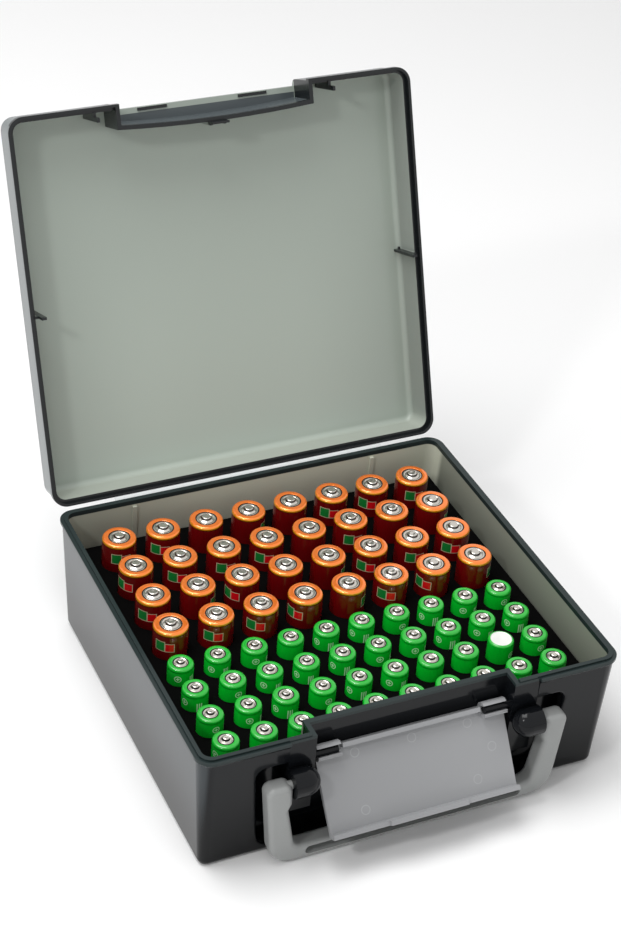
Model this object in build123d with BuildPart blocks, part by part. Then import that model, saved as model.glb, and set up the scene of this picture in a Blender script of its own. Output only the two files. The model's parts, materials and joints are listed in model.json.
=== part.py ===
"""Battery case: hinged tub and lid, handle, latch flap and cell insert with 72 cells. Millimetres."""
import os
from math import cos, radians, sin, tan

from build123d import *

# ---- case envelope -------------------------------------------------------------------------
CASE_W = 180.0          # flange width
CASE_D = 164.0          # flange depth
FLANGE = 0.8            # how far the flange stands proud of the wall
FLANGE_T = 1.2          # flange thickness at its edge
COVE = 1.4              # height of the cove under the flange
COVE_LEAN = 30.0        # lean of the cove in degrees
RIM = 56.5              # height of the ledge that the lid closes on
LIP_H = 0.8             # raised inner lip above the ledge
LIP_OUT = 1.6           # lip outer face, in from the flange edge
LIP_FOOT = 1.6          # the inner wall stands upright from this far below the ledge
WALL = 2.4              # tub wall
FLOOR = 2.0             # tub floor
DRAFT = 2.736           # wall draft in degrees
CORNER_R = 6.0          # vertical corner radius at the top
FLOOR_R = 1.6           # inner corner radius at the floor
FOOT_R = 2.6            # rounding round the bottom
GUIDE_X = 56.0          # guide ribs on the back inner wall
GUIDE_T = 1.8
GUIDE_OUT = 1.2
GUIDE_TOP = 2.0         # top of a guide rib below the ledge
# ---- front recess --------------------------------------------------------------------------
NOTCH_X = 42.3          # half width of the notch
PILASTER_X = 53.3       # outboard face of a pilaster
PILASTER_Z = 19.0       # lower end of a pilaster
PILASTER_IN = 1.35      # upright front face of a pilaster, in from the flange edge
PILASTER_WALL = 2.0
RECESS_IN = 8.8         # outer face of the recessed wall, in from the flange edge
RECESS_T = 2.2          # recessed wall
BACKING = 2.2           # material kept round the pocket
POCKET_TOP = 45.6
POCKET_LOW = 4.0
POCKET_XT = 66.3        # pocket half width at its top
POCKET_XB = 63.0        # pocket half width at its foot
POCKET_RT = 4.0         # pocket upper corners
POCKET_RB = 6.0         # pocket lower corners
POCKET_EDGE = 1.4       # rounding of the pocket's edge
# ---- handle --------------------------------------------------------------------------------
PIVOT_OUT = 2.2         # pin axis forward of the flange edge
PIVOT_Z = 38.2
LUG_R = 5.9
LUG_X = 53.35           # outboard face of a lug
LUG_END = 41.8          # inboard end of a lug's dome
BORE_IN = 46.0          # inboard end of a pin bore
PIN_R = 1.8
PIN_CLEAR = 0.06
PIN_GAP = 0.6           # pin end to bore end
GRIP_T = 8.0            # handle thickness front to back
GRIP_LOW = 0.5          # underside of the crossbar
GRIP_HIGH = 7.4         # upper side of the crossbar
GRIP_XB = 60.95         # half width at the crossbar
GRIP_XT = 64.7          # half width at the arm tops
GRIP_IN = 51.3          # half opening at the crossbar
ARM_TOP = 40.4
ARM_GAP = 0.4           # arm to lug
KNEE_TOP = 31.0         # the arm grows thinner between these two heights
KNEE_LOW = 28.0
KNEE_IN = 1.25
GRIP_R = 10.0           # lower outer corners
GRIP_RI = 4.0           # lower inner corners
ARM_R = 3.2             # corners of the arm tops
GRIP_EDGE = 2.2         # edge rounding
GROOVE_L = 94.0
GROOVE_H = 3.6
GROOVE_UP = 0.6         # groove above the middle of the crossbar
GROOVE_DEEP = 5.0
# ---- latch flap ----------------------------------------------------------------------------
BAR_FORE = 3.8          # stub bar axis forward of the recessed wall
BAR_Z = 43.5
BAR_R = 1.75
BAR_END = 31.5
CLIP_R = 3.3
CLIP_IN = 30.6          # inboard face of a clip
CLIP_CLEAR = 0.06
CLIP_MOUTH = 3.3        # height of the clip's mouth
CLIP_REACH = 2.2        # fingers reach this far forward of the axis
CLIP_H = 5.9            # height over the fingers
FLAP_LEAN = 36.5        # flap leans out from the vertical
FLAP_X = 40.6           # half width at the top
FLAP_XE = 40.2          # half width at the lip
FLAP_MID = 2.34         # axis to plate mid plane
FLAP_T = 1.8
FLAP_HEAD = 1.6         # plate above the axis
FLAP_LEN = 33.8
FLAP_R = 0.8
RIDGE_X = 29.6          # half length of the ridge between the clips
RIDGE_H = 1.8
RIDGE_OUT = 2.85        # ridge height above the plate
LIP_T = 1.9             # lip at the free end
LIP_RISE = 3.14         # lip height above the plate
TONGUE_X = 16.7         # half length of the longer centre part
TONGUE_RISE = 4.74
STOP_X = 36.0           # stop rib behind the top edge
STOP_H = 0.8
STOP_DROP = 0.2         # stop rib below the plate's top edge
STOP_OUT = 0.44
# ---- lid -----------------------------------------------------------------------------------
LID_OPEN = 110.72       # degrees from closed
HINGE_OUT = 1.13        # hinge line behind the flange edge
HINGE_DROP = 0.5        # hinge line below the ledge
LID_MORE = 0.2          # the lid is this much deeper than the flange, at the front
LID_H = 18.1            # outer depth
LID_PANEL = 1.6
LID_WALL = 1.75
LID_DRAFT = 1.5         # wall draft in degrees
LID_LAND = 2.2          # depth of the land that sits round the tub's lip
LAND_GAP = 0.5
LID_BAND = 2.6          # height of the band round the rim
LID_R = 3.2             # outer rounding of the panel
LID_RI = 2.4            # inner rounding of the panel
BAY_IN = 8.6            # ends of the bowed front wall in the notch, in from the flange edge
BAY_BOW = 1.7
BAY_WALL = 1.7
BROW_IN = 4.0           # front edge of the panel over the notch, in from the flange edge
BEAD_X = 22.7           # two beads under the panel's front edge
BEAD_IN = 0.9           # beads in from the panel's front edge
BEAD_L = 13.2
BEAD_T = 1.3
BEAD_OUT = 0.5
RIB_X = 52.6            # ribs on the front wall
RIB_T = 1.1
RIB_OUT = 3.45          # ribs stand this far in from the lid wall
RIB_REACH = 2.9         # ribs reach this far into the tub
RIB_GAP = 0.7           # rib to tub wall
TAB_X = 3.9             # half width of the centre tab
TAB_T = 0.9
TAB_LOW = 3.2           # tab below and above the rim
TAB_HIGH = 4.2
TAB_RIB_X = 3.05
TAB_RIB_OUT = 1.6
# ---- hinge film ----------------------------------------------------------------------------
FILM_X = 63.0           # half length
FILM_BEAD = 0.42        # radius of the fold
FILM_T = 0.4
FILM_TUCK = 0.3         # the lid's leaf stops this far behind the fold
# ---- cell insert and cells -----------------------------------------------------------------
INSERT_TOP = 39.5
INSERT_SIDE = 1.55      # insert to side walls, at its top
INSERT_FRONT = 1.05
INSERT_BACK = 2.55
INSERT_POCKET = 0.7     # insert to the recessed wall
AA_R = 7.25
AA_SEAT = 4.6           # black washer round the contact
AA_CAP = 4.17
AA_BUTTON = 2.2
AA_BASE = 3.3
AA_RING = 52.6
AA_TOP = 53.8
AA_COLUMN_IN = 21.4     # outer columns, in from the flange edge
AA_ROW_IN = 19.3        # back row, in from the flange edge
AA_WEB = 4.77           # wall between two rows of holes
AAA_R = 5.35
AAA_SEAT = 3.2
AAA_CAP = 2.84
AAA_BUTTON = 1.6
AAA_BASE = 4.6
AAA_RING = 47.4
AAA_TOP = 48.5
AAA_COLUMN_IN = 18.81
AAA_ROW_IN = 20.18      # front row, in from the flange edge
AAA_WEB = 4.23
MIXED_WEB = 4.42        # wall between the AA and the AAA holes
CAN_EDGE = 0.4          # chamfer at a can's lower end
CAN_ROLL = 0.9          # shoulder of a can
CAN_STEP = 0.25
CAP_STEP = 0.1          # small steps pressed in a contact plate
CAP_EDGE = 0.2          # edge of a contact's nub
END_RIM = 3.85          # the upturned cell's flat end: rim and dish
END_DISH = 3.53
END_DEEP = 0.3
END_EDGE = 0.5
SEAT_DEEP = 0.5         # contact plate below the can's top
HOLE_GAP = 0.35
SEAT = 0.02             # gap left between pieces that rest on each other

os.makedirs("parts", exist_ok=True)


def save(part, name):
    part.label = name
    export_step(part, "parts/" + name + ".step")


def grow(height):
    """How far a drafted wall leans out over a height."""
    return height * tan(radians(DRAFT))


def block(x, y, z, mode=Mode.ADD):
    """A box given by its low and high end along each axis."""
    with Locations(((x[0] + x[1]) / 2, (y[0] + y[1]) / 2, (z[0] + z[1]) / 2)):
        Box(x[1] - x[0], y[1] - y[0], z[1] - z[0], mode=mode)


def both(low, high):
    """The same stretch of X on the left and on the right."""
    return (-high, -low), (low, high)


def on_pocket_edge(edge):
    """An edge where the front wall turns into the handle pocket, away from the pilasters."""
    at, reach = edge.center(), (edge @ 0 - edge @ 1).length
    low, high = POCKET_LOW - SEAT, POCKET_TOP + SEAT
    if not (front < at.Y < front + FLANGE + grow(RIM) + 1 and low < at.Z < high and reach > 2 * FLANGE):
        return False
    return abs(at.X) > PILASTER_X + 1 or at.Z < POCKET_LOW + SEAT


# ---- places that follow the envelope ---------------------------------------------------------
pilaster_y = CASE_D / 2 - PILASTER_IN
recess_y = CASE_D / 2 - RECESS_IN
pivot_y = CASE_D / 2 + PIVOT_OUT
bar_y = recess_y + BAR_FORE
hinge_y = CASE_D / 2 + HINGE_OUT
hinge_z = RIM - HINGE_DROP
bay_y = CASE_D / 2 - BAY_IN
brow_y = CASE_D / 2 - BROW_IN
bead_y = brow_y - BEAD_IN
lid_depth = CASE_D + LID_MORE

# ---- tub -----------------------------------------------------------------------------------
base_w = CASE_W - 2 * FLANGE - 2 * grow(RIM)
base_d = CASE_D - 2 * FLANGE - 2 * grow(RIM)
lip_w = CASE_W - 2 * LIP_OUT
lip_d = CASE_D - 2 * LIP_OUT
in_w = CASE_W - 2 * FLANGE - 2 * WALL
in_d = CASE_D - 2 * FLANGE - 2 * WALL
in_drop = RIM - LIP_FOOT - FLOOR
floor_w = in_w - 2 * grow(in_drop)
floor_d = in_d - 2 * grow(in_drop)
front = -CASE_D / 2
back = -recess_y + RECESS_T
above = RIM + LIP_H + 1
shelf = POCKET_TOP + BACKING
out = CASE_D
neck = FLANGE + grow(FLANGE_T + COVE)

with BuildPart() as tub_room:
    with BuildSketch(Plane.XY.offset(FLOOR)):
        RectangleRounded(floor_w, floor_d, FLOOR_R)
    extrude(amount=in_drop, taper=-DRAFT)
    with BuildSketch(Plane.XY.offset(RIM - LIP_FOOT)):
        RectangleRounded(in_w, in_d, FLOOR_R + grow(in_drop))
    extrude(amount=LIP_FOOT + LIP_H + 1)
    # material kept behind the pocket and the notch
    with BuildSketch(Plane.XZ.offset(-back)):
        with BuildLine():
            Polyline((-POCKET_XB - BACKING, 0), (POCKET_XB + BACKING, 0), (POCKET_XT + BACKING, shelf),
                     (NOTCH_X + PILASTER_WALL, shelf), (NOTCH_X + PILASTER_WALL, above),
                     (-NOTCH_X - PILASTER_WALL, above), (-NOTCH_X - PILASTER_WALL, shelf),
                     (-POCKET_XT - BACKING, shelf), close=True)
        make_face()
    extrude(amount=in_d, mode=Mode.SUBTRACT)
    # the hollow inside each pilaster
    for x in both(NOTCH_X + PILASTER_WALL, PILASTER_X - PILASTER_WALL):
        block(x, (-pilaster_y + PILASTER_WALL, back + SEAT), (PILASTER_Z + PILASTER_WALL, above))
    # guide ribs on the back wall
    for x in both(GUIDE_X - GUIDE_T / 2, GUIDE_X + GUIDE_T / 2):
        block(x, (in_d / 2 - GUIDE_OUT, in_d / 2 + 1), (INSERT_TOP, RIM - GUIDE_TOP), Mode.SUBTRACT)

with BuildPart() as lug:
    with BuildSketch(Plane.XY.offset(PIVOT_Z)):
        with BuildLine():
            ThreePointArc((LUG_END, -pivot_y),
                          (LUG_END + LUG_R * (1 - cos(radians(45))), -pivot_y - LUG_R * sin(radians(45))),
                          (LUG_END + LUG_R, -pivot_y - LUG_R))
            Polyline((LUG_END + LUG_R, -pivot_y - LUG_R), (LUG_X, -pivot_y - LUG_R), (LUG_X, -pivot_y),
                     (LUG_END, -pivot_y))
        make_face()
    revolve(axis=Axis((0, -pivot_y, PIVOT_Z), (1, 0, 0)))

with BuildPart() as tub:
    with BuildSketch():
        RectangleRounded(base_w, base_d, CORNER_R - grow(RIM))
    extrude(amount=RIM - FLANGE_T / 2, taper=-DRAFT)
    fillet(tub.faces().sort_by(Axis.Z)[0].edges(), FOOT_R)
    # flange with a cove under it
    with BuildSketch(Plane.XY.offset(RIM - FLANGE_T - COVE)):
        RectangleRounded(CASE_W - 2 * neck, CASE_D - 2 * neck, CORNER_R)
    extrude(amount=COVE, taper=-COVE_LEAN)
    with BuildSketch(Plane.XY.offset(RIM - FLANGE_T)):
        RectangleRounded(CASE_W, CASE_D, CORNER_R + FLANGE)
    extrude(amount=FLANGE_T)
    with BuildSketch(Plane.XY.offset(RIM)):
        RectangleRounded(lip_w, lip_d, CORNER_R - FLANGE)
        with Locations((0, front)):
            Rectangle(2 * (NOTCH_X + PILASTER_WALL), 2 * (CASE_D / 2 + back), mode=Mode.SUBTRACT)
    extrude(amount=LIP_H)
    add(tub_room.part, mode=Mode.SUBTRACT)
    # notch, open at the top
    block((-NOTCH_X, NOTCH_X), (-out, -recess_y), (POCKET_TOP, above), Mode.SUBTRACT)
    # handle pocket around the pilasters
    with BuildSketch(Plane.XZ.offset(recess_y)) as pocket_face:
        with BuildLine():
            Polyline((-POCKET_XB, POCKET_LOW), (POCKET_XB, POCKET_LOW), (POCKET_XT, POCKET_TOP),
                     (-POCKET_XT, POCKET_TOP), close=True)
        make_face()
        fillet(pocket_face.vertices().group_by(Axis.Y)[0], POCKET_RB)
        fillet(pocket_face.vertices().group_by(Axis.Y)[-1], POCKET_RT)
        for side in (-1, 1):
            with Locations((side * (NOTCH_X + PILASTER_X) / 2, (PILASTER_Z + RIM) / 2)):
                Rectangle(PILASTER_X - NOTCH_X, RIM - PILASTER_Z, mode=Mode.SUBTRACT)
    extrude(amount=out - recess_y, mode=Mode.SUBTRACT)
    fillet(tub.edges().filter_by(on_pocket_edge), POCKET_EDGE)
    # upright faces of the pilasters
    for x in both(NOTCH_X, PILASTER_X):
        block(x, (-out, -pilaster_y), (POCKET_TOP, above), Mode.SUBTRACT)
    # lugs for the handle pins
    add(lug.part)
    add(mirror(lug.part, about=Plane.YZ))
    for x in both(BORE_IN, LUG_X + 1):
        with Locations(((x[0] + x[1]) / 2, -pivot_y, PIVOT_Z)):
            Cylinder(PIN_R + PIN_CLEAR, x[1] - x[0], rotation=(0, 90, 0), mode=Mode.SUBTRACT)
    # stub bars that the latch flap clips on
    for x in both(BAR_END, NOTCH_X + PILASTER_WALL / 2):
        with Locations(((x[0] + x[1]) / 2, -bar_y, BAR_Z)):
            Cylinder(BAR_R, x[1] - x[0], rotation=(0, 90, 0))
save(tub.part, "tub")

# ---- carry handle --------------------------------------------------------------------------
arm_in = LUG_X + ARM_GAP
knee = arm_in + KNEE_IN

with BuildPart() as carry_handle:
    with BuildSketch(Plane.XZ.offset(pivot_y - GRIP_T / 2)) as grip_face:
        with BuildLine():
            Polyline((-GRIP_XB, GRIP_LOW), (GRIP_XB, GRIP_LOW), (GRIP_XT, ARM_TOP), (arm_in, ARM_TOP),
                     (arm_in, KNEE_TOP), (knee, KNEE_LOW), (GRIP_IN, GRIP_HIGH), (-GRIP_IN, GRIP_HIGH),
                     (-knee, KNEE_LOW), (-arm_in, KNEE_TOP), (-arm_in, ARM_TOP), (-GRIP_XT, ARM_TOP), close=True)
        make_face()
        fillet(grip_face.vertices().group_by(Axis.Y)[0], GRIP_R)
        fillet(grip_face.vertices().filter_by(lambda v: abs(v.Y - GRIP_HIGH) < 0.01), GRIP_RI)
        fillet(grip_face.vertices().group_by(Axis.Y)[-1], ARM_R)
    extrude(amount=GRIP_T)
    fillet(carry_handle.faces().filter_by(Axis.Y).edges(), GRIP_EDGE)
    # groove along the front of the crossbar
    with BuildSketch(Plane.XZ.offset(pivot_y + GRIP_T / 2)):
        with Locations((0, (GRIP_LOW + GRIP_HIGH) / 2 + GROOVE_UP)):
            SlotOverall(GROOVE_L, GROOVE_H)
    extrude(amount=-GROOVE_DEEP, mode=Mode.SUBTRACT)
    for x in both(BORE_IN + PIN_GAP, arm_in + ARM_R):
        with Locations(((x[0] + x[1]) / 2, -pivot_y, PIVOT_Z)):
            Cylinder(PIN_R, x[1] - x[0], rotation=(0, 90, 0))
save(carry_handle.part, "carry_handle")

# ---- latch flap ----------------------------------------------------------------------------
lean = radians(FLAP_LEAN)
# local x across, local y down the plate from the axis, local z toward the back of the plate
flap_plane = Plane(origin=(0, -bar_y, BAR_Z), x_dir=(1, 0, 0), z_dir=(0, cos(lean), -sin(lean)))
plate_front = FLAP_MID - FLAP_T / 2

with BuildPart(flap_plane) as latch_flap:
    with BuildSketch(flap_plane.offset(plate_front)) as plate_face:
        with BuildLine():
            Polyline((-FLAP_X, -FLAP_HEAD), (FLAP_X, -FLAP_HEAD), (FLAP_XE, FLAP_LEN), (-FLAP_XE, FLAP_LEN),
                     close=True)
        make_face()
        fillet(plate_face.vertices().group_by(Axis.Y)[-1], FLAP_R)
    extrude(amount=FLAP_T)
    # ridge along the top edge, between the clips
    with BuildSketch(flap_plane.offset(plate_front - RIDGE_OUT)):
        with Locations((0, RIDGE_H / 2 - FLAP_HEAD)):
            Rectangle(2 * RIDGE_X, RIDGE_H)
    extrude(amount=RIDGE_OUT)
    # lip at the free end with a longer centre tongue
    for half, rise in ((FLAP_XE, LIP_RISE), (TONGUE_X, TONGUE_RISE)):
        with BuildSketch(flap_plane.offset(plate_front - rise)):
            with Locations((0, FLAP_LEN - LIP_T / 2)):
                Rectangle(2 * half, LIP_T)
        extrude(amount=rise)
    # stop rib behind the top edge
    with BuildSketch(flap_plane.offset(FLAP_MID + FLAP_T / 2)):
        with Locations((0, STOP_DROP + STOP_H / 2 - FLAP_HEAD)):
            Rectangle(2 * STOP_X, STOP_H)
    extrude(amount=STOP_OUT)
    # clips round the stub bars, open toward the plate's front
    for x in both(CLIP_IN, FLAP_X):
        clip_plane = Plane(origin=(x[0], -bar_y, BAR_Z), x_dir=(0, -cos(lean), sin(lean)), z_dir=(1, 0, 0))
        with BuildSketch(clip_plane):
            Circle(CLIP_R)
            with Locations((CLIP_REACH / 2, 0)):
                Rectangle(CLIP_REACH, CLIP_H)
        extrude(amount=FLAP_X - CLIP_IN)
        with BuildSketch(clip_plane.offset(-1)):
            Circle(BAR_R + CLIP_CLEAR)
            with Locations((CLIP_R, 0)):
                Rectangle(2 * CLIP_R, CLIP_MOUTH)
        extrude(amount=FLAP_X - CLIP_IN + 2, mode=Mode.SUBTRACT)
save(latch_flap.part, "latch_flap")

# ---- lid -----------------------------------------------------------------------------------
tilt = radians(LID_OPEN)


def lid_at(h):
    """Plane h above the lid's rim, with the axes of the closed lid."""
    y, z = -hinge_y, RIM + h - hinge_z
    return Plane(origin=(0, hinge_y + y * cos(tilt) + z * sin(tilt), hinge_z - y * sin(tilt) + z * cos(tilt)),
                 x_dir=(1, 0, 0), z_dir=(0, sin(tilt), cos(tilt)))


lid_up = Axis((0, 0, 0), (0, sin(tilt), cos(tilt)))
lid_in = LID_H - LID_PANEL
lid_w = CASE_W - 2 * FLANGE
lid_d = lid_depth - 2 * FLANGE
lid_mid = -(lid_depth - CASE_D) / 2
lid_front = lid_mid - lid_depth / 2
wall_x = lid_w / 2 - LID_WALL
wall_y = lid_mid - lid_d / 2 + LID_WALL
clear_lip = 2 * LIP_H
bay_in = -bay_y + BAY_BOW + BAY_WALL

with BuildPart() as lid_room:
    with BuildSketch(lid_at(-1)):
        with Locations((0, lid_mid)):
            RectangleRounded(lip_w + 2 * LAND_GAP, lip_d + 2 * LAND_GAP + lid_depth - CASE_D, CORNER_R)
    extrude(amount=LID_LAND + 1)
    with BuildSketch(lid_at(LID_LAND)):
        with Locations((0, lid_mid)):
            RectangleRounded(lid_w - 2 * LID_WALL, lid_d - 2 * LID_WALL, CORNER_R - LID_WALL)
    extrude(amount=lid_in - LID_LAND, taper=LID_DRAFT)
    fillet(lid_room.faces().sort_by(lid_up)[-1].edges(), LID_RI)
    # wall kept behind the notch
    with BuildSketch(lid_at(-1)):
        with BuildLine():
            half, low = NOTCH_X + BAY_WALL, -bay_y + BAY_WALL
            ThreePointArc((-half, low), (0, bay_in), (half, low))
            Polyline((half, low), (half, -out), (-half, -out), (-half, low))
        make_face()
    extrude(amount=LID_H + 1, mode=Mode.SUBTRACT)

with BuildPart() as lid:
    with BuildSketch(lid_at(SEAT)):
        with Locations((0, lid_mid)):
            RectangleRounded(lid_w, lid_d, CORNER_R)
    extrude(amount=LID_H - SEAT, taper=LID_DRAFT)
    fillet(lid.faces().sort_by(lid_up)[-1].edges(), LID_R)
    with BuildSketch(lid_at(SEAT)):
        with Locations((0, lid_mid)):
            RectangleRounded(CASE_W, lid_depth, CORNER_R + FLANGE)
    extrude(amount=LID_BAND)
    add(lid_room.part, mode=Mode.SUBTRACT)
    # notch, bowed toward the hinge, closed by the panel
    with BuildSketch(lid_at(-1)):
        with BuildLine():
            ThreePointArc((-NOTCH_X, -bay_y), (0, BAY_BOW - bay_y), (NOTCH_X, -bay_y))
            Polyline((NOTCH_X, -bay_y), (NOTCH_X, -out), (-NOTCH_X, -out), (-NOTCH_X, -bay_y))
        make_face()
    extrude(amount=lid_in + 1, mode=Mode.SUBTRACT)
    with Locations(lid_at(0)):
        block((-NOTCH_X, NOTCH_X), (-out, -brow_y), (-1, LID_H + 1), Mode.SUBTRACT)
        for x in both(BEAD_X - BEAD_L / 2, BEAD_X + BEAD_L / 2):
            block(x, (-bead_y - BEAD_T / 2, -bead_y + BEAD_T / 2), (lid_in - BEAD_OUT, LID_H - LID_PANEL / 2))
        # stiffening ribs whose narrow feet reach into the tub, inside its lip
        for x in both(wall_x - RIB_OUT, wall_x + LID_WALL / 4):
            block(x, (-RIB_T / 2, RIB_T / 2), (clear_lip, lid_in))
        for x in both(wall_x - RIB_OUT, in_w / 2 - RIB_GAP):
            block(x, (-RIB_T / 2, RIB_T / 2), (-RIB_REACH, clear_lip))
        for x in both(RIB_X - RIB_T / 2, RIB_X + RIB_T / 2):
            block(x, (wall_y - LID_WALL / 4, wall_y + RIB_OUT), (clear_lip, lid_in))
            block(x, (RIB_GAP - in_d / 2, wall_y + RIB_OUT), (-RIB_REACH, clear_lip))
        # centre tab on two short ribs
        for x in both(TAB_RIB_X - RIB_T / 2, TAB_RIB_X + RIB_T / 2):
            block(x, (bay_in - BAY_WALL / 2, bay_in + TAB_RIB_OUT), (SEAT, lid_in))
        block((-TAB_X, TAB_X), (bay_in - SEAT, bay_in + TAB_T), (-TAB_LOW, TAB_HIGH))
save(lid.part, "lid")

# ---- hinge film, one leaf on each side of the fold -------------------------------------------
leaf_y = CASE_D / 2 + SEAT

with BuildPart() as hinge_film_tub_side:
    with BuildSketch(Plane.YZ.offset(-FILM_X)):
        with BuildLine():
            Polyline((leaf_y, hinge_z - FILM_BEAD - FILM_T / 2), (hinge_y, hinge_z - 3 * FILM_T / 4),
                     (hinge_y, hinge_z + FILM_T / 4), (leaf_y, hinge_z - FILM_T / 2), close=True)
        make_face()
        with Locations((hinge_y, hinge_z)):
            Circle(FILM_BEAD)
    extrude(amount=2 * FILM_X)
save(hinge_film_tub_side.part, "hinge_film_tub_side")

with BuildPart() as hinge_film_lid_side:
    leaf_plane = Plane(origin=(-FILM_X, hinge_y, hinge_z), x_dir=(0, cos(tilt), -sin(tilt)), z_dir=(1, 0, 0))
    with BuildSketch(leaf_plane):
        with BuildLine():
            edge, low = leaf_y - hinge_y, HINGE_DROP + 6 * SEAT
            Polyline((edge, low), (-FILM_BEAD - 3 * SEAT, FILM_T), (-FILM_TUCK, FILM_BEAD + FILM_T / 2),
                     (edge, low + FILM_T + 5 * SEAT), close=True)
        make_face()
    extrude(amount=2 * FILM_X)
save(hinge_film_lid_side.part, "hinge_film_lid_side")

# ---- cell insert -----------------------------------------------------------------------------
insert_drop = grow(RIM - LIP_FOOT - INSERT_TOP)
insert_w = in_w - 2 * insert_drop - 2 * INSERT_SIDE
insert_low = insert_drop + INSERT_FRONT - in_d / 2
insert_high = in_d / 2 - insert_drop - INSERT_BACK
aa_hole = 2 * (AA_R + HOLE_GAP)
aaa_hole = 2 * (AAA_R + HOLE_GAP)
# the rows fill the depth, with their webs in the named proportion
spare = CASE_D - AA_ROW_IN - AAA_ROW_IN - 3.5 * aa_hole - 3.5 * aaa_hole
spread = spare / (3 * AA_WEB + MIXED_WEB + 3 * AAA_WEB)


def grid(columns, column_in, back_row, pitch):
    """Four rows of places, from the back row forward."""
    step = (CASE_W - 2 * column_in) / (columns - 1)
    return [[((i - (columns - 1) / 2) * step, back_row - row * pitch) for i in range(columns)] for row in range(4)]


aaa_pitch = aaa_hole + AAA_WEB * spread
aa_spots = grid(8, AA_COLUMN_IN, CASE_D / 2 - AA_ROW_IN, aa_hole + AA_WEB * spread)
aaa_spots = grid(10, AAA_COLUMN_IN, AAA_ROW_IN - CASE_D / 2 + 3 * aaa_pitch, aaa_pitch)
flipped = aaa_spots[2][8]

with BuildPart() as cell_insert:
    with BuildSketch(Plane.XY.offset(INSERT_TOP)):
        with Locations((0, (insert_low + insert_high) / 2)):
            Rectangle(insert_w, insert_high - insert_low)
        with Locations((0, -out / 2 + back / 2 + INSERT_POCKET)):
            Rectangle(2 * (POCKET_XT + BACKING), out + back, mode=Mode.SUBTRACT)
    extrude(amount=FLOOR + SEAT - INSERT_TOP, taper=DRAFT)
    for rows, radius, base in ((aa_spots, AA_R, AA_BASE), (aaa_spots, AAA_R, AAA_BASE)):
        with BuildSketch(Plane.XY.offset(INSERT_TOP)):
            with Locations(*sum(rows, [])):
                Circle(radius + HOLE_GAP)
        extrude(amount=base - SEAT - INSERT_TOP, mode=Mode.SUBTRACT)
save(cell_insert.part, "cell_insert")


# ---- cells -----------------------------------------------------------------------------------
def jackets(spots, radius, seat, base, ring):
    """Cans with a rolled upper shoulder and a shallow seat for the contact."""
    with BuildPart() as can:
        with BuildSketch(Plane.XZ):
            with BuildLine():
                Polyline((0, base), (radius - CAN_EDGE, base), (radius, base + CAN_EDGE), (radius, ring - CAN_ROLL),
                         (radius - CAN_STEP, ring - CAN_STEP), (radius - CAN_ROLL, ring), (seat + CAP_STEP, ring),
                         (seat, ring - SEAT_DEEP), (0, ring - SEAT_DEEP), close=True)
            make_face()
        revolve(axis=Axis.Z)
    return Compound([can.part.moved(Location((x, y, 0))) for x, y in spots])


def terminals(spots, plate, button, ring, top):
    """Metal caps: a plate with a pressed ring round the raised contact."""
    with BuildPart() as cap:
        with BuildSketch(Plane.XZ):
            with BuildLine():
                low = ring - SEAT_DEEP + SEAT
                ditch = (plate + button) / 2
                Polyline((0, low), (plate, low), (plate, ring - CAP_STEP), ((plate + ditch) / 2, ring + CAP_STEP),
                         (ditch, ring - CAP_STEP), (button + CAP_EDGE, ring + CAP_EDGE), (button, top - CAP_EDGE),
                         (button - 2 * CAP_EDGE, top), (0, top), close=True)
            make_face()
        revolve(axis=Axis.Z)
    return Compound([cap.part.moved(Location((x, y, 0))) for x, y in spots])


for n, spots in enumerate(aa_spots):
    save(jackets(spots, AA_R, AA_SEAT, AA_BASE, AA_RING), "aa_cells_row_%d" % (n + 1))
    save(terminals(spots, AA_CAP, AA_BUTTON, AA_RING, AA_TOP), "aa_terminals_row_%d" % (n + 1))

for n, spots in enumerate(aaa_spots):
    upright = [spot for spot in spots if spot != flipped]
    save(jackets(upright, AAA_R, AAA_SEAT, AAA_BASE, AAA_RING), "aaa_cells_row_%d" % (n + 1))
    save(terminals(upright, AAA_CAP, AAA_BUTTON, AAA_RING, AAA_TOP), "aaa_terminals_row_%d" % (n + 1))

# the cell that stands upside down, contact downward
with BuildPart() as aaa_inverted_cell:
    with BuildSketch(Plane.XZ):
        with BuildLine():
            shoulder = AAA_BASE + AAA_TOP - AAA_RING
            Polyline((0, AAA_BASE), (AAA_BUTTON, AAA_BASE), (AAA_BUTTON, shoulder), (AAA_R - END_EDGE, shoulder),
                     (AAA_R, shoulder + END_EDGE), (AAA_R, AAA_TOP - END_EDGE), (AAA_R - END_EDGE, AAA_TOP),
                     (END_RIM, AAA_TOP), (END_DISH, AAA_TOP - END_DEEP), (0, AAA_TOP - END_DEEP), close=True)
        make_face()
    revolve(axis=Axis.Z)
aaa_inverted_cell.part.locate(Location((flipped[0], flipped[1], 0)))
save(aaa_inverted_cell.part, "aaa_inverted_cell")
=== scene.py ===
import json
import math
import random

import bmesh
import bpy
from mathutils import Matrix, Vector


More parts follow.
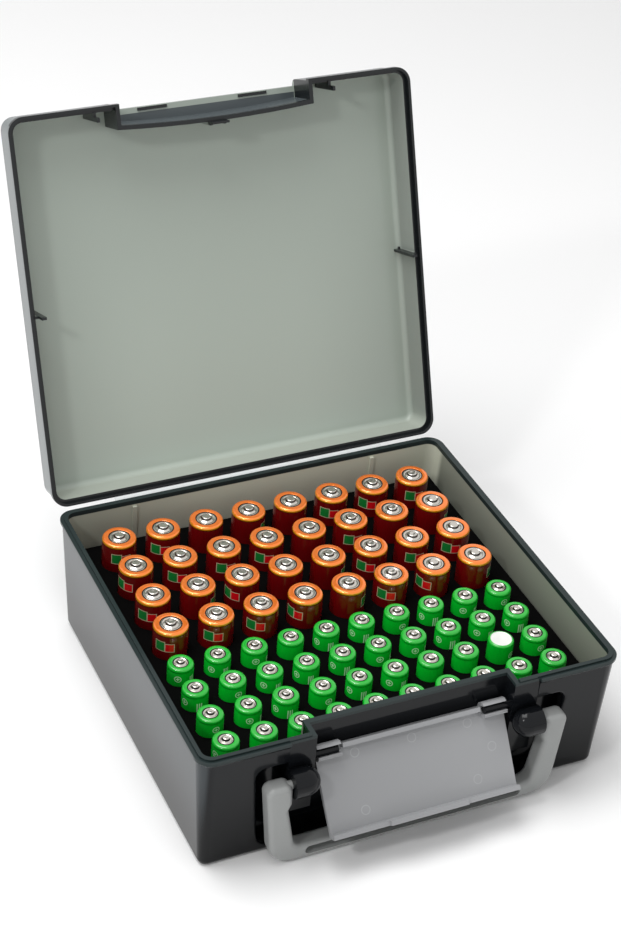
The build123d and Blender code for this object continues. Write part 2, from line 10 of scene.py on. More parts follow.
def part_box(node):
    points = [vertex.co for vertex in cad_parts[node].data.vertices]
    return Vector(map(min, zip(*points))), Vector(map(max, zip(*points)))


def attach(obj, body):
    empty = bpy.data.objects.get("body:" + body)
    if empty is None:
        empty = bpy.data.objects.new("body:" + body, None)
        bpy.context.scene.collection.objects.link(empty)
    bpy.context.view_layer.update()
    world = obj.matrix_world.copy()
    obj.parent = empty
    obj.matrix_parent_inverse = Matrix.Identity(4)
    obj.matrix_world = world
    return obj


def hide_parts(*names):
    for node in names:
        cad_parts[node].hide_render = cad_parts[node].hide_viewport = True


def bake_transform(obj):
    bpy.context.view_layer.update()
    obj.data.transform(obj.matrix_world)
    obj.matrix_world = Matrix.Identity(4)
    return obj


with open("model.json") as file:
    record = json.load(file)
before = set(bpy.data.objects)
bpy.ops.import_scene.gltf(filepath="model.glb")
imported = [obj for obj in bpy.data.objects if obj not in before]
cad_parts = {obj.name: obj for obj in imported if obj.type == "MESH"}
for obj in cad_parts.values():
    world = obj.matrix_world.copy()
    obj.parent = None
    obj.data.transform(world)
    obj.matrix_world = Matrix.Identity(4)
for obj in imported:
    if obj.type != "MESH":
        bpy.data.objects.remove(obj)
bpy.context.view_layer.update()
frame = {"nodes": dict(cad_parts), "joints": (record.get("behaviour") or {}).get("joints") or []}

bl_info = {
    "name": "Battery Case",
    "version": (1, 0, 0),
    "blender": (4, 5, 0),
    "location": "3D View > Sidebar > Battery Case",
    "description": "Dresses a hinged battery case and fills it with cells",
    "category": "Add Mesh",
}

MM = 0.001
CREASE = math.radians(40)               # edges bent more than this stay sharp
FINE, CRISP, SOFT = 0.0001, 0.0002, 0.0004      # widths of a colour's edge, in metres
ROWS, AA_IN_ROW, AAA_IN_ROW = 4, 8, 10
LABEL_FRONT = -90                       # turn of a label whose middle faces the front, in degrees


def swatch(red, green, blue):
    """Linear colour of a paint swatch read in 0 to 255."""
    def channel(c):
        c /= 255.0
        return c / 12.92 if c <= 0.04045 else ((c + 0.055) / 1.055) ** 2.4
    return (channel(red), channel(green), channel(blue))


def shade(base, factor):
    """The colour, darker or lighter by a factor."""
    return tuple(min(1.0, c * factor) for c in base)


def colour(text, value):
    return bpy.props.FloatVectorProperty(name=text, description=text + ", linear", default=value,
                                         size=3, min=0.0, max=1.0, subtype="COLOR")


def length(text, value):
    return bpy.props.FloatProperty(name=text, description=text, default=value * MM, precision=5,
                                   unit="LENGTH", subtype="DISTANCE")


def angle(text, note, degrees):
    return bpy.props.FloatProperty(name=text, description=note, default=math.radians(degrees),
                                   unit="ROTATION", subtype="ANGLE")


def joint(name):
    """The part's own record of a joint."""
    return next(j for j in frame["joints"] if j["name"] == name)


def seat_of(node):
    """Middle of a node in plan, with its lowest and highest level."""
    low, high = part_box(node)
    return (low[0] + high[0]) / 2, (low[1] + high[1]) / 2, low[2], high[2]


# ---- what a user may change ---------------------------------------------------------------
class BATTERYCASE_PG_case(bpy.types.PropertyGroup):
    shell_outside: colour("Tub outside", swatch(16, 18, 21))
    shell_inside: colour("Tub inside", swatch(138, 142, 130))
    # the rim's greenish tint, painted lighter as light coming through its thin edge
    shell_edge: colour("Tub rim", swatch(40, 50, 50))
    shell_lit: colour("Tub outside, lit left wall", swatch(62, 67, 70))
    # painted light: the back wall paler, lit through the plastic
    back_lit_left: colour("Tub inside, back wall at the left", swatch(165, 168, 154))
    back_lit_right: colour("Tub inside, back wall", swatch(200, 203, 186))
    # near-black; in the notch and on the front ribs it is painted shade as well
    lid_edge: colour("Lid rim, notch and ribs", swatch(16, 20, 22))
    # the lid's inside colours are paler than lid_outside as painted light coming through the lid
    lid_panel: colour("Lid panel", swatch(180, 190, 180))
    lid_outside: colour("Lid from outside", swatch(112, 118, 119))
    lid_wall: colour("Lid walls", swatch(146, 152, 146))
    # painted light: the wall paler at the hinge
    lid_hinge_wall_lit: colour("Lid wall at the hinge", swatch(172, 178, 168))
    # painted shade: the notch wall in dark grey
    lid_notch_shade: colour("Strip on the lid's notch wall", swatch(78, 85, 88))
    grip: colour("Handle", swatch(152, 154, 153))
    flap: colour("Latch flap", swatch(154, 155, 157))
    pin_mark: colour("Mould pin marks on the flap", swatch(205, 206, 208))
    insert: colour("Cell insert", swatch(3, 3, 3))
    film: colour("Hinge film", swatch(226, 230, 230))
    film_half: length("Half length of the hinge film", 63.0)
    film_thick: length("Thickness of the hinge film", 0.45)


class BATTERYCASE_PG_cells(bpy.types.PropertyGroup):
    aa_radius: length("AA radius", 7.25)
    aa_seat: length("AA seat radius round the contact", 4.6)
    aa_plate: length("AA contact plate radius", 4.17)
    aa_nub: length("AA contact nub radius", 2.2)
    aa_foot: length("AA lower end", 3.3)
    aa_shoulder: length("AA shoulder height", 52.6)
    aa_tip: length("AA contact height", 53.8)
    aa_pitch: length("AA pitch along a row", 19.6)
    aaa_radius: length("AAA radius", 5.35)
    aaa_seat: length("AAA seat radius round the contact", 3.2)
    aaa_plate: length("AAA contact plate radius", 2.84)
    aaa_nub: length("AAA contact nub radius", 1.6)
    aaa_foot: length("AAA lower end", 4.6)
    aaa_shoulder: length("AAA shoulder height", 47.4)
    aaa_tip: length("AAA contact height", 48.5)
    aaa_pitch: length("AAA pitch along a row", 15.82)
    aa_ring: colour("AA metallic ring", swatch(252, 128, 34))
    # painted highlight on the ring's lower part
    aa_ring_foot_highlight: colour("AA metallic ring, lower part", swatch(246, 168, 18))
    aa_ring_edge: colour("AA metallic ring, lower edge", swatch(110, 62, 8))
    aa_body: colour("AA jacket", swatch(98, 3, 6))
    aa_patch_left: colour("AA patch, left", swatch(18, 118, 48))
    aa_patch_right: colour("AA patch, right", swatch(205, 12, 24))
    aa_patch_border: colour("AA patch, border", swatch(214, 206, 170))
    aaa_body: colour("AAA jacket", swatch(0, 176, 40))
    aaa_mark: colour("AAA jacket's plus sign and bars", swatch(206, 236, 204))
    nickel: colour("Contacts", swatch(205, 200, 192))
    washer: colour("Insulating washers", (0.004, 0.004, 0.004))
    steel: colour("End of the upside-down cell", swatch(236, 236, 232))


class BATTERYCASE_PG_stage(bpy.types.PropertyGroup):
    floor: colour("Floor", (0.96, 0.96, 0.96))
    lamp_power: bpy.props.FloatProperty(name="Lamp power", default=9.0, min=0.0, unit="POWER",
                                        description="Power of the large overhead lamp")
    azimuth: angle("Azimuth", "Camera turn about the case", -26.854)
    elevation: angle("Elevation", "Camera height angle", 35.374)
    roll: angle("Roll", "Camera roll", 4.682)
    distance: length("Camera distance", 831.27)
    aim: bpy.props.FloatVectorProperty(name="Aim", description="Point the camera looks at", size=3,
                                       default=(-0.013684, 0.0, 0.119105), unit="LENGTH",
                                       subtype="TRANSLATION")
    lens: bpy.props.FloatProperty(name="Lens", default=55.14, unit="CAMERA",
                                  description="Focal length on a 24 mm high frame, in millimetres")


# ---- materials ----------------------------------------------------------------------------
class Recipe:
    """A procedural material built node by node, with lengths in metres."""

    def __init__(self, name, roughness, metallic=0.0, coat=0.0, ior=1.5):
        self.mat = bpy.data.materials.new(name)
        self.mat.use_nodes = True
        self.tree = self.mat.node_tree
        self.nodes = self.tree.nodes
        self.shader = self.nodes["Principled BSDF"]
        self.shader.inputs["Roughness"].default_value = roughness
        self.shader.inputs["Metallic"].default_value = metallic
        self.shader.inputs["Coat Weight"].default_value = coat
        self.shader.inputs["IOR"].default_value = ior

    def put(self, socket, value):
        if isinstance(value, bpy.types.NodeSocket):
            self.tree.links.new(value, socket)
        else:
            socket.default_value = value

    def math(self, op, a, b=0.0):
        n = self.nodes.new("ShaderNodeMath")
        n.operation = op
        self.put(n.inputs[0], a)
        self.put(n.inputs[1], b)
        return n.outputs[0]

    def times(self, first, *others):
        """Product of all the values."""
        for other in others:
            first = self.math("MULTIPLY", first, other)
        return first

    def most(self, first, *others):
        """Largest of all the values."""
        for other in others:
            first = self.math("MAXIMUM", first, other)
        return first

    def reach(self, a, b):
        """Length of the vector (a, b)."""
        return self.math("SQRT", self.math("ADD", self.times(a, a), self.times(b, b)))

    def travel(self, y, z, way):
        """How far the point (y, z) lies along a unit direction of the YZ plane."""
        return self.math("ADD", self.times(y, way[0]), self.times(z, way[1]))

    def object_vector(self):
        return self.nodes.new("ShaderNodeTexCoord").outputs["Object"]

    def place(self):
        """Object coordinates in metres, split in three."""
        split = self.nodes.new("ShaderNodeSeparateXYZ")
        self.tree.links.new(self.object_vector(), split.inputs[0])
        return split.outputs[0], split.outputs[1], split.outputs[2]

    def label(self):
        """The piece's own label map: around the jacket and up it, in metres."""
        n = self.nodes.new("ShaderNodeUVMap")
        n.uv_map = "label"
        split = self.nodes.new("ShaderNodeSeparateXYZ")
        self.tree.links.new(n.outputs[0], split.inputs[0])
        return split.outputs[0], split.outputs[1]

    def ramp(self, value, low, high, a=0.0, b=1.0):
        """Smooth step from a to b while value goes from low to high."""
        n = self.nodes.new("ShaderNodeMapRange")
        n.interpolation_type = "SMOOTHSTEP"
        self.put(n.inputs["Value"], value)
        n.inputs["From Min"].default_value = low
        n.inputs["From Max"].default_value = high
        n.inputs["To Min"].default_value = a
        n.inputs["To Max"].default_value = b
        return n.outputs[0]

    def above(self, value, edge, width=CRISP):
        """1 where value lies above the edge."""
        return self.ramp(value, edge, edge + width)

    def below(self, value, edge, width=CRISP):
        """1 where value lies below the edge."""
        return self.ramp(value, edge, edge + width, 1.0, 0.0)

    def inside(self, value, low, high, soft=0.00004):
        """1 where value lies between low and high."""
        up = self.ramp(value, low - soft, low + soft)
        down = self.ramp(value, high - soft, high + soft, 1.0, 0.0)
        return self.times(up, down)

    def patch(self, around, up, box, grow=0.0):
        """1 inside a rectangle of the label, given as left, right, low and high."""
        left, right, low, high = box
        return self.times(self.inside(up, low - grow, high + grow),
                          self.inside(around, left - grow, right + grow))

    def noise(self, scale, detail):
        n = self.nodes.new("ShaderNodeTexNoise")
        n.inputs["Scale"].default_value = scale
        n.inputs["Detail"].default_value = detail
        self.tree.links.new(self.object_vector(), n.inputs["Vector"])
        return n.outputs["Fac"]

    def mix(self, fac, a, b):
        n = self.nodes.new("ShaderNodeMix")
        n.data_type = "RGBA"
        self.put(n.inputs[0], fac)
        for socket, value in ((n.inputs[6], a), (n.inputs[7], b)):
            self.put(socket, value if isinstance(value, bpy.types.NodeSocket) else (*value, 1.0))
        return n.outputs[2]

    def paint(self, value):
        self.put(self.shader.inputs["Base Color"],
                 value if isinstance(value, bpy.types.NodeSocket) else (*value, 1.0))

    def rough(self, fac, low, high):
        """Roughness that goes from low to high with fac, in place of the plain value."""
        value = self.math("ADD", self.times(fac, high - low), low)
        self.put(self.shader.inputs["Roughness"], value)

    def bump(self, height, strength, distance):
        n = self.nodes.new("ShaderNodeBump")
        n.inputs["Strength"].default_value = strength
        n.inputs["Distance"].default_value = distance
        self.tree.links.new(height, n.inputs["Height"])
        self.tree.links.new(n.outputs[0], self.shader.inputs["Normal"])


def mottled(recipe, base, spread, scale):
    """A base colour with the faint clouding that moulded plastic has."""
    return recipe.mix(recipe.noise(scale, 2.0), shade(base, 1 - spread), shade(base, 1 + spread))


def smoke_shell(case):
    """Dark from outside, paler inside where light comes through the wall, and a greenish rim."""
    draft = 0.0478                                  # how far a wall leans out, per unit of height
    side_face, end_face = 0.0845, 0.0765            # inner faces of the walls, at table level
    recess_back, recess_half = -0.0722, 0.0673      # wall behind the front recess, half its width
    floor_face, ledge = 0.0015, 0.0549              # top of the floor, foot of the rim's ledge
    r = Recipe("Smoke plastic, tub", roughness=0.12, ior=1.3)
    x, y, z = r.place()
    ax = r.math("ABSOLUTE", x)
    lean = r.times(z, draft)
    room = r.times(r.below(r.math("SUBTRACT", ax, lean), side_face, FINE),
                   r.below(r.math("SUBTRACT", y, lean), end_face, FINE),
                   r.above(r.math("ADD", y, lean), -end_face - FINE, FINE),
                   r.most(r.above(y, recess_back), r.above(ax, recess_half)),
                   r.above(z, floor_face, SOFT))

    # inside: painted shadow lower down by the insert, and painted light coming through the back
    # wall, paler towards the right
    shadow_full, shadow_end = 0.038, 0.056
    pale_start, pale_full = -0.080, -0.010
    back_start, back_full = 0.068, 0.072
    shadow = shade(case.shell_inside, 0.75)
    inner = r.mix(r.ramp(z, shadow_full, shadow_end), shadow, case.shell_inside)
    back = r.mix(r.ramp(x, pale_start, pale_full), case.back_lit_left, case.back_lit_right)
    inner = r.mix(r.ramp(y, back_start, back_full), inner, back)

    # outside: painted shade towards the table, and painted light on the left wall where it catches
    # light
    dark_end, bright_end = 0.004, 0.052
    left_wall, left_corner = -0.087, -0.085
    glow_start, glow_full = 0.010, 0.050
    outer = mottled(r, case.shell_outside, 0.15, 22.0)
    outer = r.mix(r.ramp(z, dark_end, bright_end), shade(case.shell_outside, 0.45), outer)
    lit = r.times(r.ramp(x, left_wall, left_corner, 1.0, 0.0), r.ramp(z, glow_start, glow_full))
    outer = r.mix(lit, outer, case.shell_lit)

    body = r.mix(room, outer, inner)
    # the rim: the plastic's greenish tint, painted lighter as light coming through its thin edge
    r.paint(r.mix(r.above(z, ledge, SOFT), body, case.shell_edge))
    r.rough(r.noise(60.0, 4.0), 0.09, 0.16)
    r.bump(r.noise(900.0, 2.0), 0.05, 0.00005)
    return r.mat


def smoke_lid(case):
    """Pale panel and walls, paler inside than out as painted light coming through the lid, with a
    near-black rim, notch wall, ribs and tab.
    """
    r = Recipe("Smoke plastic, lid", roughness=0.24, ior=1.45)
    x, y, z = r.place()
    ax = r.math("ABSOLUTE", x)
    rim_y, rim_z, dy, dz = lid_rim()
    from_y, from_z = r.math("SUBTRACT", y, rim_y), r.math("SUBTRACT", z, rim_z)
    depth = r.travel(from_y, from_z, (dy, dz))      # from the rim into the lid
    along = r.travel(from_y, from_z, (-dz, dy))     # from the hinge to the front edge

    # inside: painted shade darkens the panel a little towards the front and the sides
    fade_start, fade_full = 0.020, 0.150
    side_start, side_full = 0.030, 0.084
    hinge_start, hinge_full = 0.003, 0.012
    wall_end, panel_start = 0.0140, 0.0166
    panel = case.lid_panel
    sheet = r.mix(r.ramp(along, fade_start, fade_full), panel, shade(panel, 0.80))
    sheet = r.mix(r.ramp(ax, side_start, side_full), sheet, shade(panel, 0.82))
    sheet = r.mix(r.times(r.noise(9.0, 1.5), 0.3), sheet, shade(panel, 0.85))
    # painted light: the wall is paler at the hinge
    wall = r.mix(r.ramp(along, hinge_start, hinge_full), case.lid_hinge_wall_lit, case.lid_wall)
    walls = r.mix(r.ramp(depth, wall_end, panel_start), wall, sheet)

    # the outer skin, told from the inner one by the draft of the walls and their rounded corners
    draft, middle = 0.0262, 0.08323                 # lean per unit of depth, middle along the lid
    skin_side, skin_end, skin_corner, skin_panel = 0.0883, 0.0804, 0.1656, 0.0172
    lean = r.times(depth, draft)
    side = r.math("ADD", ax, lean)
    end = r.math("ADD", r.math("ABSOLUTE", r.math("SUBTRACT", along, middle)), lean)
    outside = r.most(r.above(side, skin_side), r.above(end, skin_end),
                     r.above(r.math("ADD", side, end), skin_corner), r.above(depth, skin_panel))
    walls = r.mix(outside, walls, case.lid_outside)

    # what is seen on end: rim, land round the tub's lip, notch wall, front ribs and side ribs; in
    # the notch and on the front ribs the near-black is painted shade as well
    rim_deep, land_deep, land_side = 0.0006, 0.0023, 0.0889
    bay_half, bay_start, bay_deep = 0.0443, 0.1542, 0.0162
    rib_deep, rib_start, rib_box = 0.0160, 0.1555, (0.0518, 0.0534)
    side_rib_box, side_rib_place = (0.0838, 0.0868), (0.0820, 0.0845)
    rim = r.below(depth, rim_deep, FINE)
    land = r.times(r.below(depth, land_deep, FINE), r.below(ax, land_side, FINE))
    bay = r.times(r.inside(ax, 0.0, bay_half), r.above(along, bay_start), r.below(depth, bay_deep))
    ribs = r.times(r.inside(ax, *rib_box), r.above(along, rib_start),
                   r.below(depth, rib_deep, SOFT))
    side_ribs = r.times(r.inside(ax, *side_rib_box), r.inside(along, *side_rib_place),
                        r.below(depth, rib_deep, SOFT))
    painted = r.mix(r.most(rim, land, bay, ribs, side_ribs), walls, case.lid_edge)

    # a paler strip along the glossy notch wall, painted shade in dark grey
    strip_top, strip_half, strip_place = 0.0026, 0.0421, (0.1546, 0.1588)
    strip = r.times(r.above(depth, strip_top), r.below(ax, strip_half),
                    r.inside(along, *strip_place), r.below(depth, skin_panel))
    r.paint(r.mix(strip, painted, case.lid_notch_shade))
    r.rough(r.noise(50.0, 4.0), 0.18, 0.28)
    r.bump(r.noise(700.0, 2.0), 0.05, 0.00005)
    return r.mat


def lid_rim():
    """Lid rim at rest: a point of it at the hinge, and the way into the lid, as y, z, dy, dz."""
    hinge = joint("lid_hinge")
    tilt = math.radians(hinge["range_deg"][1])
    at = hinge["pos_m"]
    up = 0.5 * MM                                   # the rim lies this far above the hinge line
    return at[1] + up * math.sin(tilt), at[2] + up * math.cos(tilt), math.sin(tilt), math.cos(tilt)


def satin_plastic(name, base, rough):
    r = Recipe(name, roughness=rough, ior=1.48)
    r.paint(mottled(r, base, 0.06, 40.0))
    r.rough(r.noise(80.0, 4.0), rough - 0.06, rough + 0.06)
    r.bump(r.noise(1400.0, 3.0), 0.12, 0.00006)
    return r.mat


def flap_plastic(case):
    """Satin grey with the faint ring marks that the mould's pins leave on the plate."""
    lean = math.radians(36.5)                       # of the flap at rest
    marks = ((-0.0243, 0.0036), (0.0, 0.0036), (0.0243, 0.0036),
             (-0.0243, 0.0261), (0.0243, 0.0261), (0.0329, 0.0149))     # across, down the plate
    mark_inner, mark_outer, mark_soft = 0.0016, 0.0019, 0.00012
    fade = 0.040                                    # painted shade to the left and painted light to the right: the tone changes from -fade to fade
    base = case.flap
    r = Recipe("Grey plastic, flap", roughness=0.34, ior=1.48)
    x, y, z = r.place()
    pivot = joint("latch_pivot")["pos_m"]
    down = r.travel(r.math("SUBTRACT", y, pivot[1]), r.math("SUBTRACT", z, pivot[2]),
                    (-math.sin(lean), -math.cos(lean)))
    rings = []
    for across, along in marks:
        away = r.reach(r.math("SUBTRACT", x, across), r.math("SUBTRACT", down, along))
        rings.append(r.inside(away, mark_inner, mark_outer, mark_soft))
    rings = r.times(r.most(*rings), r.ramp(down, 0.0, MM))
    face = r.mix(r.ramp(x, -fade, fade), shade(base, 0.90), shade(base, 1.10))
    face = r.mix(r.times(r.noise(45.0, 3.0), 0.3), face, shade(base, 0.88))
    r.paint(r.mix(r.times(rings, 0.28), face, case.pin_mark))
    r.rough(r.noise(80.0, 4.0), 0.26, 0.38)
    r.bump(r.math("ADD", rings, r.times(r.noise(1400.0, 3.0), 0.25)), 0.35, 0.00008)
    return r.mat


def foam_black(base):
    r = Recipe("Black insert", roughness=0.9, ior=1.15)
    r.paint(mottled(r, base, 0.3, 300.0))
    r.bump(r.noise(1800.0, 3.0), 0.3, 0.0001)
    return r.mat


def film_plastic(base):
    r = Recipe("Hinge film", roughness=0.25, ior=1.5)
    r.paint(mottled(r, base, 0.05, 90.0))
    return r.mat


def nickel_plate(base):
    r = Recipe("Nickel contact", roughness=0.18, metallic=1.0)
    r.paint(mottled(r, base, 0.08, 260.0))
    r.rough(r.noise(500.0, 2.0), 0.12, 0.24)
    return r.mat


def black_washer(base):
    r = Recipe("Insulating washer", roughness=0.6)
    r.paint(mottled(r, base, 0.3, 200.0))
    return r.mat


def steel_end(base):
    r = Recipe("Pale steel end", roughness=0.35, metallic=0.2)
    r.paint(mottled(r, base, 0.04, 300.0))
    return r.mat


def aa_jacket(cells):
    """Dark red jacket with a glossy orange shoulder, gold lower down as a painted highlight, and a
    two-colour patch.
    """
    r = Recipe("AA jacket", roughness=0.2, coat=0.8)
    around, up = r.label()
    top = cells.aa_shoulder
    ring_foot, dark_foot, dark_top = top - 1.65 * MM, top - 1.45 * MM, top - 1.15 * MM
    gold_foot, gold_top = top - 0.8 * MM, top - 0.05 * MM
    ring = r.above(up, ring_foot, FINE)
    # painted highlight: the ring's lower part more golden
    gold = r.mix(r.ramp(up, gold_foot, gold_top), cells.aa_ring_foot_highlight, cells.aa_ring)
    gold = r.mix(r.ramp(up, dark_foot, dark_top), cells.aa_ring_edge, gold)

    mid, border = top - 6.6 * MM, 0.3 * MM
    left = (-4.1 * MM, -0.1 * MM, mid - 2.2 * MM, mid + 2.2 * MM)
    right = (0.3 * MM, 3.8 * MM, mid - 2.2 * MM, mid + 1.4 * MM)
    edges = r.most(r.patch(around, up, left, border), r.patch(around, up, right, border))
    jacket = r.mix(r.noise(60.0, 2.0), shade(cells.aa_body, 0.8), shade(cells.aa_body, 1.15))
    jacket = r.mix(r.times(edges, 0.7), jacket, cells.aa_patch_border)
    jacket = r.mix(r.patch(around, up, left), jacket, cells.aa_patch_left)
    jacket = r.mix(r.patch(around, up, right), jacket, cells.aa_patch_right)
    r.paint(r.mix(ring, jacket, gold))
    r.put(r.shader.inputs["Metallic"], r.times(ring, 0.45))
    r.rough(ring, 0.2, 0.18)
    return r.mat


def aaa_jacket(cells):
    """Green jacket with a plain plus sign in a ring and three upright bars."""
    mark_down = 4.5 * MM                            # from the shoulder to the middle of the ring
    ring_inner, ring_outer = 1.15 * MM, 1.5 * MM
    arm, thin = 0.75 * MM, 0.2 * MM                 # half length and half width of the plus
    bar_left, bar_step, bar_wide = 5.2 * MM, 0.9 * MM, 0.45 * MM
    bar_low, bar_high = -8.5 * MM, 0.5 * MM
    dark_end, bright_end = 0.030, 0.045
    r = Recipe("AAA jacket", roughness=0.24, coat=0.6)
    around, up = r.label()
    rise = r.math("SUBTRACT", up, cells.aaa_shoulder - mark_down)
    marks = [r.inside(r.reach(around, rise), ring_inner, ring_outer),
             r.patch(around, rise, (-thin, thin, -arm, arm)),
             r.patch(around, rise, (-arm, arm, -thin, thin))]
    for n in range(3):
        left = bar_left + n * bar_step
        marks.append(r.patch(around, rise, (left, left + bar_wide, bar_low, bar_high)))
    jacket = mottled(r, cells.aaa_body, 0.1, 70.0)
    # painted shade: darker low down, where the cells sit in the insert's holes
    jacket = r.mix(r.ramp(up, dark_end, bright_end), shade(cells.aaa_body, 0.75), jacket)
    r.paint(r.mix(r.times(r.most(*marks), 0.8), jacket, cells.aaa_mark))
    r.rough(r.noise(200.0, 2.0), 0.2, 0.3)
    return r.mat


# ---- shapes -------------------------------------------------------------------------------
# Profiles of the cells, as pairs of an offset from a radius and a rise from a level, both in
# millimetres. In the SHARE ones the first number is a share of the radius, and in PLATE_SHARE
# a share of the way in from the plate's edge to the nub.
CAN_FOOT = ((-0.4, 0.0), (-0.1, 0.1), (0.0, 0.4))
CAN_SHOULDER = ((0.0, -2.0), (-0.10, -1.8), (-0.12, -1.6), (0.0, -1.4), (0.0, -1.0),
                (-0.12, -0.55), (-0.40, -0.18), (-0.85, 0.0))
CAN_SEAT = ((0.22, 0.0), (0.06, -0.08), (0.0, -0.25), (0.0, -0.5))
PLATE_SHARE = ((0.16, 0.0), (0.38, -0.12), (0.50, -0.24), (0.64, -0.12), (0.84, 0.10))
NUB_FOOT = ((0.10, 0.16), (0.0, 0.30))
NUB_TOP = ((-0.10, -0.45), (-0.28, -0.16), (-0.6, 0.0))
NUB_SHARE = ((0.45, -0.03), (0.3, -0.1))
END_FOOT = ((-0.5, 1.0), (0.0, 1.5))
END_TOP = ((0.0, -0.9), (-0.15, -0.4), (-0.6, -0.05))
END_SHARE = ((0.82, 0.0), (0.78, -0.22), (0.70, -0.26), (0.24, -0.3), (0.18, -0.4))


def from_edge(points, radius, level):
    """(radius, height) points at an offset from the radius."""
    return [(radius + out * MM, level + up * MM) for out, up in points]


def by_share(points, radius, level):
    """(radius, height) points at a share of the radius."""
    return [(radius * share, level + up * MM) for share, up in points]


def turned(profile, steps):
    """A closed solid of revolution about Z from (radius, height) points."""
    bm = bmesh.new()
    verts = [bm.verts.new((r, 0.0, z)) for r, z in profile]
    edges = [bm.edges.new(pair) for pair in zip(verts, verts[1:])]
    bmesh.ops.spin(bm, geom=verts + edges, cent=(0, 0, 0), axis=(0, 0, 1), angle=math.tau,
                   steps=steps, use_merge=True)
    bmesh.ops.remove_doubles(bm, verts=bm.verts, dist=1e-6)
    bmesh.ops.recalc_face_normals(bm, faces=bm.faces)
    return bm


def label_map(bm, radius, turn):
    """Writes the label map: arc length from the label's middle, and height."""
    layer = bm.loops.layers.uv.verify()
    for face in bm.faces:
        mid = face.calc_center_median()
        base = math.atan2(mid.y, mid.x) - turn
        base = (base + math.pi) % math.tau - math.pi
        for loop in face.loops:
            co = loop.vert.co
            at = base
            if co.xy.length > 1e-6:
                step = math.atan2(co.y, co.x) - math.atan2(mid.y, mid.x)
                at = base + (step + math.pi) % math.tau - math.pi
            loop[layer].uv = (at * radius, co.z)


def gather(name, shape, spots, materials, slots, turns=None, radius=None):
    """One object made of a copy of the shape at each spot, with a label map where turns are given.

    slots picks a face's material from the middle of the face.
    """
    mesh = bpy.data.meshes.new(name)
    whole = bmesh.new()
    for n, (x, y) in enumerate(spots):
        one = shape.copy()
        if turns is not None:
            label_map(one, radius, turns[n])
        for face in one.faces:
            face.material_index = slots(face.calc_center_median())
        bmesh.ops.translate(one, vec=(x, y, 0.0), verts=one.verts)
        part = bpy.data.meshes.new("part")
        one.to_mesh(part)
        one.free()
        whole.from_mesh(part)
        bpy.data.meshes.remove(part)
    whole.to_mesh(mesh)
    whole.free()
    if turns is not None:
        mesh.uv_layers[0].name = "label"
    for mat in materials:
        mesh.materials.append(mat)
    obj = bpy.data.objects.new(name, mesh)
    bpy.context.scene.collection.objects.link(obj)
    mesh.shade_smooth()
    mesh.set_sharp_from_angle(angle=CREASE)
    return obj


def can_profile(r, seat, foot, shoulder):
    """Jacket: base, wall, bead and rolled shoulder, and a seat for the contact."""
    return [(0.0, foot), *from_edge(CAN_FOOT, r, foot), *from_edge(CAN_SHOULDER, r, shoulder),
            *from_edge(CAN_SEAT, seat, shoulder), (0.0, shoulder - 0.5 * MM)]


def cap_profile(plate, nub, shoulder, tip):
    """Contact: pressed plate with a ring, a step and the round nub."""
    low = shoulder - 0.48 * MM
    ring = [(plate - share * (plate - nub), shoulder + up * MM) for share, up in PLATE_SHARE]
    return [(0.0, low), (plate - 0.1 * MM, low), (plate, low + 0.1 * MM),
            (plate - 0.06 * MM, shoulder - 0.1 * MM), *ring, *from_edge(NUB_FOOT, nub, shoulder),
            *from_edge(NUB_TOP, nub, tip), *by_share(NUB_SHARE, nub, tip), (0.0, tip - 0.1 * MM)]


def inverted_profile(r, low, high):
    """Upside-down cell: nub below, wall, rolled edge and flat end."""
    nub, neck = r * 0.3, low + 1.0 * MM
    return [(0.0, low), (nub, low), (nub, neck), *from_edge(END_FOOT, r, low),
            *from_edge(END_TOP, r, high), *by_share(END_SHARE, r, high), (0.0, high - 0.4 * MM)]


def in_seat(seat, shoulder):
    """Picks the black washer: the faces of a can's seat."""
    low, top, reach = shoulder - 0.6 * MM, shoulder - 0.04 * MM, seat + 0.1 * MM
    return lambda mid: int(low < mid.z < top and mid.xy.length < reach)


def on_step(nub, shoulder, tip):
    """Picks the upright side of a contact's nub, painted in a much darker nickel as shade."""
    low, top, reach = shoulder + 0.1 * MM, tip - 0.3 * MM, nub + 0.1 * MM
    return lambda mid: int(low < mid.z < top and mid.xy.length < reach)


def on_end(r, high):
    """Picks the flat end of the upside-down cell."""
    low, reach = high - 0.6 * MM, r * 0.84
    return lambda mid: int(mid.z > low and mid.xy.length < reach)


def row_spots(count, pitch, y):
    return [((n - (count - 1) / 2) * pitch, y) for n in range(count)]


def dress(node, material):
    frame["nodes"][node].material_slots[0].material = material


# ---- operators ----------------------------------------------------------------------------
class BATTERYCASE_OT_case(bpy.types.Operator):
    """Give the tub and the lid their smoke-grey plastic"""
    bl_idname = "battery_case.case"
    bl_label = "Tub and Lid"

    def execute(self, context):
        case = context.scene.battery_case
        dress("tub", smoke_shell(case))
        dress("lid", smoke_lid(case))
        return {"FINISHED"}


class BATTERYCASE_OT_front(bpy.types.Operator):
    """Give the handle and the latch flap their grey plastic"""
    bl_idname = "battery_case.front"
    bl_label = "Handle and Latch Flap"

    def execute(self, context):
        case = context.scene.battery_case
        dress("carry_handle", satin_plastic("Grey plastic, handle", case.grip, 0.42))
        dress("latch_flap", flap_plastic(case))
        return {"FINISHED"}


class BATTERYCASE_OT_insert(bpy.types.Operator):
    """Give the cell insert its matt black"""
    bl_idname = "battery_case.insert"
    bl_label = "Cell Insert"

    def execute(self, context):
        dress("cell_insert", foam_black(context.scene.battery_case.insert))
        return {"FINISHED"}


